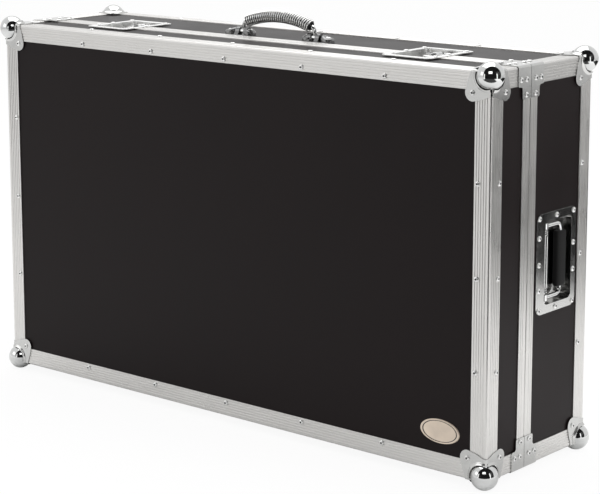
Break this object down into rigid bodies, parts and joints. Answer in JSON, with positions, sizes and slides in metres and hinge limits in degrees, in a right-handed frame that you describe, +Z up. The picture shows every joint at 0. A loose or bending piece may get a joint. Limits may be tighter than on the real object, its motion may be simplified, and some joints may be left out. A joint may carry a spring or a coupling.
{
  "type": "mixer flight case",
  "caption": "Tall slim flight case: laminated plywood shell in aluminium edging, ball corners, hinged lid, recessed butterfly latches, sprung top handle and folding side handles.",
  "frame": {"origin": "floor under the middle of the case, which stands on its lower ball corners", "axes": "+X along the length to the right, +Y from the lid to the back, +Z up"},
  "size_m": [1.085, 0.3022, 0.6913],
  "materials": {
    "laminate": "satin",
    "aluminium": "satin",
    "zinc": "polished",
    "steel": "polished",
    "rubber": "matte",
    "foam": "matte",
    "badge": "satin"
  },
  "bodies": {
    "base": {"base_back_panel": "laminate", "base_wall_panels": "laminate", "base_edge_angles": "aluminium", "base_closing_frame": "aluminium", "base_closing_middle": "aluminium", "base_foam_floor": "foam", "base_foam_walls": "foam", "base_ball_corner_left_bottom": "zinc", "base_corner_brace_left_bottom": "zinc", "base_ball_corner_left_top": "zinc", "base_corner_brace_left_top": "zinc", "hinge_base_leaf_left": "zinc", "latch_dish_left": "zinc", "handle_bracket_left": "steel", "side_handle_dish_left": "zinc", "side_handle_pin_left": "steel", "side_handle_spring_left": "steel", "base_ball_corner_right_bottom": "zinc", "base_corner_brace_right_bottom": "zinc", "base_ball_corner_right_top": "zinc", "base_corner_brace_right_top": "zinc", "hinge_base_leaf_right": "zinc", "latch_dish_right": "zinc", "handle_bracket_right": "steel", "side_handle_dish_right": "zinc", "side_handle_pin_right": "steel", "side_handle_spring_right": "steel"},
    "lid": {"lid_front_panel": "laminate", "lid_wall_panels": "laminate", "lid_edge_angles": "aluminium", "lid_closing_frame": "aluminium", "lid_closing_middle": "aluminium", "lid_foam_pad": "foam", "badge_plate": "badge", "lid_ball_corner_left_bottom": "zinc", "lid_corner_brace_left_bottom": "zinc", "lid_ball_corner_left_top": "zinc", "lid_corner_brace_left_top": "zinc", "hinge_lid_leaf_left": "zinc", "latch_strike_left": "zinc", "lid_ball_corner_right_bottom": "zinc", "lid_corner_brace_right_bottom": "zinc", "lid_ball_corner_right_top": "zinc", "lid_corner_brace_right_top": "zinc", "hinge_lid_leaf_right": "zinc", "latch_strike_right": "zinc"},
    "handle": {"handle_core": "steel", "handle_coil": "steel"},
    "latch_rotor_left": {"latch_rotor_left": "zinc"},
    "latch_hook_left": {"latch_hook_left": "steel"},
    "latch_wing_near_left": {"latch_wing_near_left": "steel"},
    "latch_wing_far_left": {"latch_wing_far_left": "steel"},
    "side_handle_left": {"side_handle_bail_left": "steel", "side_handle_grip_left": "rubber"},
    "latch_rotor_right": {"latch_rotor_right": "zinc"},
    "latch_hook_right": {"latch_hook_right": "steel"},
    "latch_wing_near_right": {"latch_wing_near_right": "steel"},
    "latch_wing_far_right": {"latch_wing_far_right": "steel"},
    "side_handle_right": {"side_handle_bail_right": "steel", "side_handle_grip_right": "rubber"}
  },
  "joints": [
    {"name": "lid_hinge", "type": "hinge", "parent": "base", "child": "lid", "pos_m": [0, -0.0352, 0.009], "axis": [1, 0, 0], "range_deg": [0, 100]},
    {"name": "handle_swing", "type": "hinge", "parent": "base", "child": "handle", "pos_m": [0, 0.003, 0.6497], "axis": [1, 0, 0], "range_deg": [-65, 65], "stiffness_Nm_per_rad": 0.4},
    {"name": "latch_rotor_turn_left", "type": "hinge", "parent": "base", "child": "latch_rotor_left", "pos_m": [-0.328, 0.006, 0.6345], "axis": [0, 0, 1], "range_deg": [0, 180]},
    {"name": "latch_hook_lift_left", "type": "hinge", "parent": "base", "child": "latch_hook_left", "pos_m": [-0.328, -0.0108, 0.6371], "axis": [-1, 0, 0], "range_deg": [0, 14]},
    {"name": "latch_wing_near_fold_left", "type": "hinge", "parent": "latch_rotor_left", "child": "latch_wing_near_left", "pos_m": [-0.328, 0.006, 0.641], "axis": [0, 1, 0], "range_deg": [0, 75]},
    {"name": "latch_wing_far_fold_left", "type": "hinge", "parent": "latch_rotor_left", "child": "latch_wing_far_left", "pos_m": [-0.328, 0.006, 0.641], "axis": [0, -1, 0], "range_deg": [0, 75]},
    {"name": "side_handle_swing_left", "type": "hinge", "parent": "base", "child": "side_handle_left", "pos_m": [-0.5212, 0.0245, 0.329], "axis": [0, 0, 1], "range_deg": [0, 90], "stiffness_Nm_per_rad": 0.12, "springref_deg": -28.65},
    {"name": "latch_rotor_turn_right", "type": "hinge", "parent": "base", "child": "latch_rotor_right", "pos_m": [0.328, 0.006, 0.6345], "axis": [0, 0, 1], "range_deg": [0, 180]},
    {"name": "latch_hook_lift_right", "type": "hinge", "parent": "base", "child": "latch_hook_right", "pos_m": [0.328, -0.0108, 0.6371], "axis": [-1, 0, 0], "range_deg": [0, 14]},
    {"name": "latch_wing_near_fold_right", "type": "hinge", "parent": "latch_rotor_right", "child": "latch_wing_near_right", "pos_m": [0.328, 0.006, 0.641], "axis": [0, 1, 0], "range_deg": [0, 75]},
    {"name": "latch_wing_far_fold_right", "type": "hinge", "parent": "latch_rotor_right", "child": "latch_wing_far_right", "pos_m": [0.328, 0.006, 0.641], "axis": [0, -1, 0], "range_deg": [0, 75]},
    {"name": "side_handle_swing_right", "type": "hinge", "parent": "base", "child": "side_handle_right", "pos_m": [0.5212, 0.0245, 0.329], "axis": [0, 0, -1], "range_deg": [0, 90], "stiffness_Nm_per_rad": 0.12, "springref_deg": -28.65}
  ],
  "couplings": [
    {"joint": "latch_hook_lift_left", "follows": "latch_rotor_turn_left", "ratio": 0.077777},
    {"joint": "latch_hook_lift_right", "follows": "latch_rotor_turn_right", "ratio": 0.077777}
  ]
}
